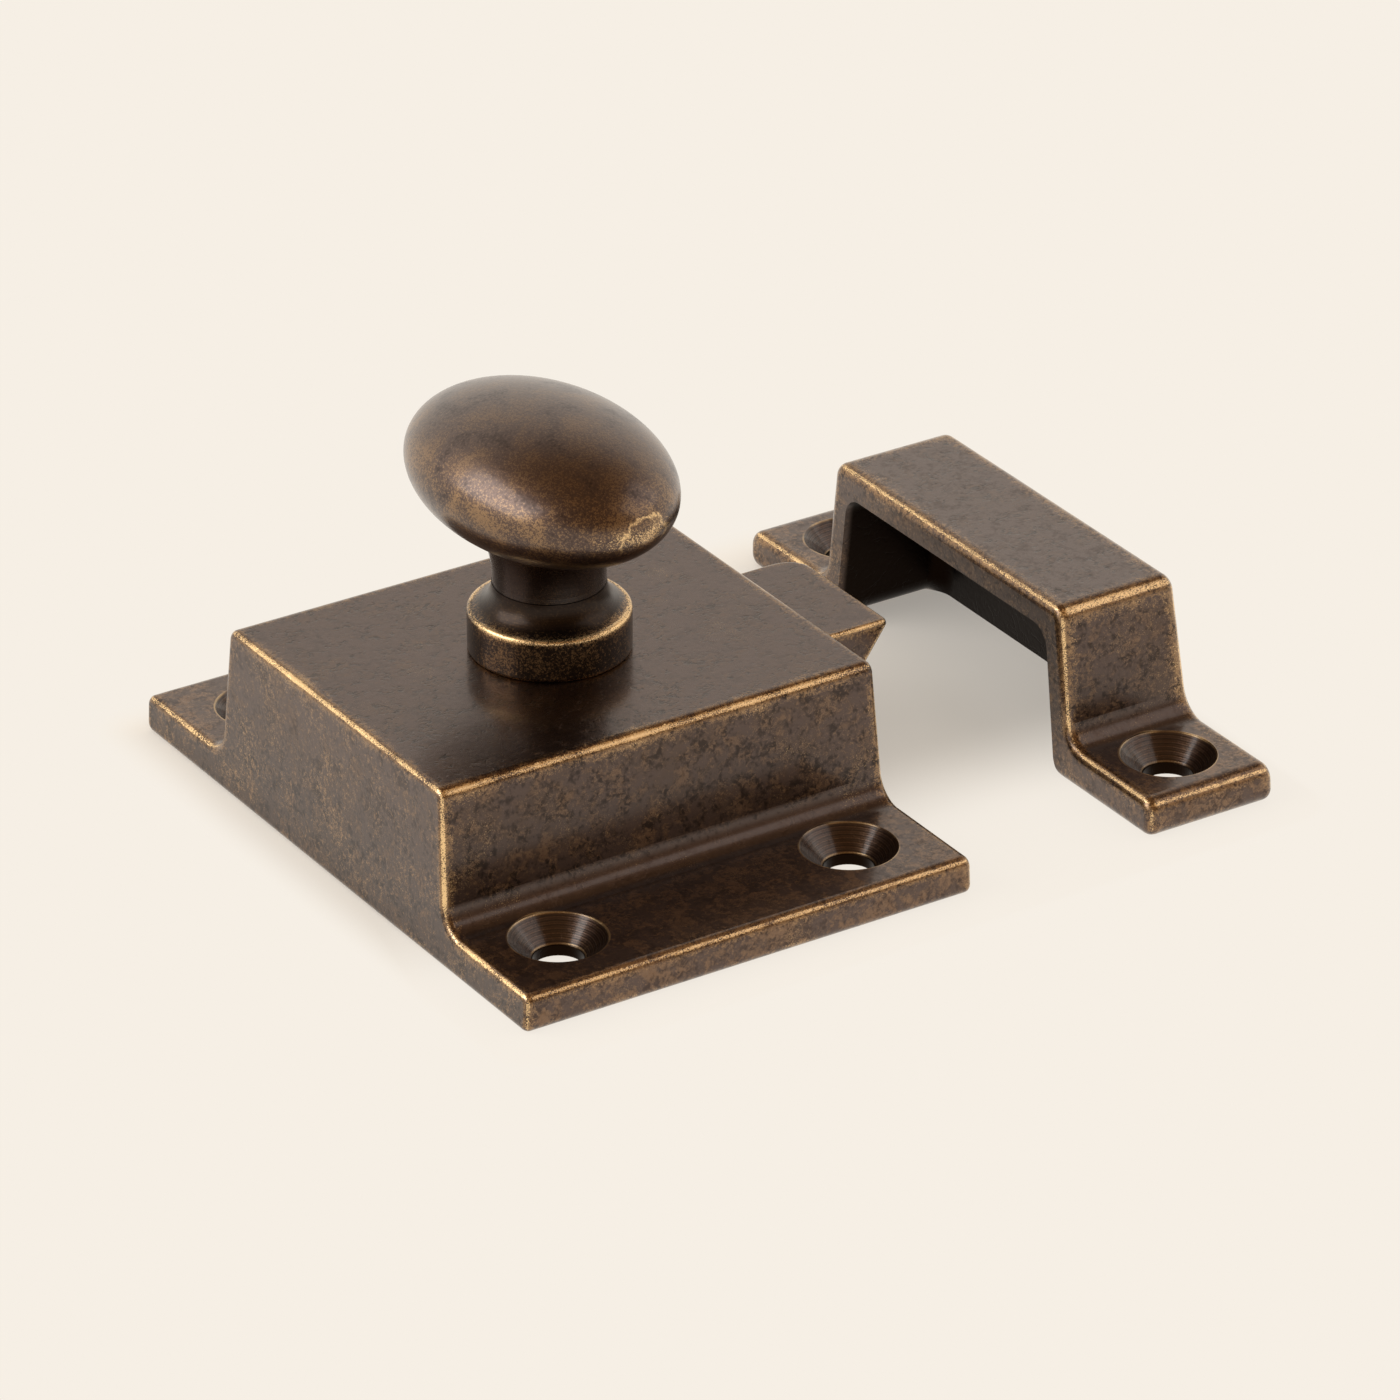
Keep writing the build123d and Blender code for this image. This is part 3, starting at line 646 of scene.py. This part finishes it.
def make_floor():
    """A wide disc under the object: cream that takes its shadow, and plain cream further off. The shadow
    fades towards the front, but not wholly."""
    angle = 2 * np.pi * np.arange(floor_sides) / floor_sides
    rim = np.stack([floor_radius * np.cos(angle), floor_radius * np.sin(angle), 0 * angle - floor_drop], -1)
    mesh = bpy.data.meshes.new("floor")
    mesh.from_pydata((rim * MM).tolist(), [], [list(range(floor_sides))])
    floor = bpy.data.objects.new("floor", mesh)
    bpy.context.scene.collection.objects.link(floor)
    material = bpy.data.materials.new("floor_cream")
    material.use_nodes = True
    tree = material.node_tree
    matt = tree.nodes["Principled BSDF"]
    matt.inputs["Base Color"].default_value = (*CREAM, 1)
    matt.inputs["Roughness"].default_value = 1.0
    matt.inputs["Specular IOR Level"].default_value = 0.0
    glow = tree.nodes.new("ShaderNodeEmission")
    glow.inputs["Color"].default_value = (*CREAM, 1)
    place = tree.nodes.new("ShaderNodeTexCoord")
    parts = tree.nodes.new("ShaderNodeSeparateXYZ")
    tree.links.new(place.outputs["Object"], parts.inputs[0])
    x, y = (Field(tree, parts.outputs[axis]) for axis in (0, 1))
    low, high = (Vector(corner) for corner in cad_box)
    middle, half = (low + high) / 2, (high - low) / 2
    outside = (abs(x - middle.x) - half.x).most(0.0).from_axis((abs(y - middle.y) - half.y).most(0.0))
    front = (0.0 - y).step(front_fade[0] * MM, front_fade[1] * MM) * 0.85
    plain = 0.34 + outside.step(0.0, shadow_reach * MM).most(front) * 0.66
    blend = tree.nodes.new("ShaderNodeMixShader")
    tree.links.new((plain * is_seen(tree)).socket, blend.inputs[0])
    tree.links.new(matt.outputs[0], blend.inputs[1])
    tree.links.new(glow.outputs[0], blend.inputs[2])
    tree.links.new(blend.outputs[0], tree.nodes["Material Output"].inputs["Surface"])
    mesh.materials.append(material)


def softbox(name, azimuth, elevation, width, height, power):
    """A lamp with a flat face towards the object, its width and height in metres and its power in watts."""
    way = towards(azimuth, elevation)
    lamp = bpy.data.lights.new(name, "AREA")
    lamp.shape = "RECTANGLE"
    lamp.size, lamp.size_y = width, height
    lamp.energy = power
    box = bpy.data.objects.new(name, lamp)
    box.location = softbox_aim_m + way * softbox_distance_m
    box.rotation_mode = "QUATERNION"
    box.rotation_quaternion = way.to_track_quat("Z", "Y")
    bpy.context.scene.collection.objects.link(box)


def make_camera():
    """The photograph's viewpoint, fitted to the corners of the case and the strike."""
    lens = bpy.data.cameras.new("camera")
    lens.lens, lens.sensor_width = 199.86, 36
    lens.clip_start, lens.clip_end = 0.01, 20
    camera = bpy.data.objects.new("camera", lens)
    camera.location = Vector((-288.947, -472.101, 301.375)) * MM
    camera.rotation_mode = "QUATERNION"
    camera.rotation_quaternion = towards(-32.714, 27.764).to_track_quat("Z", "Y")
    bpy.context.scene.collection.objects.link(camera)
    bpy.context.scene.camera = camera


make_world()
make_floor()
softbox("left_softbox", azimuth=-108, elevation=34, width=0.60, height=0.42, power=2.8)
softbox("right_softbox", azimuth=62, elevation=40, width=0.55, height=0.40, power=0.65)
make_camera()
bpy.context.scene.view_settings.view_transform = "Standard"
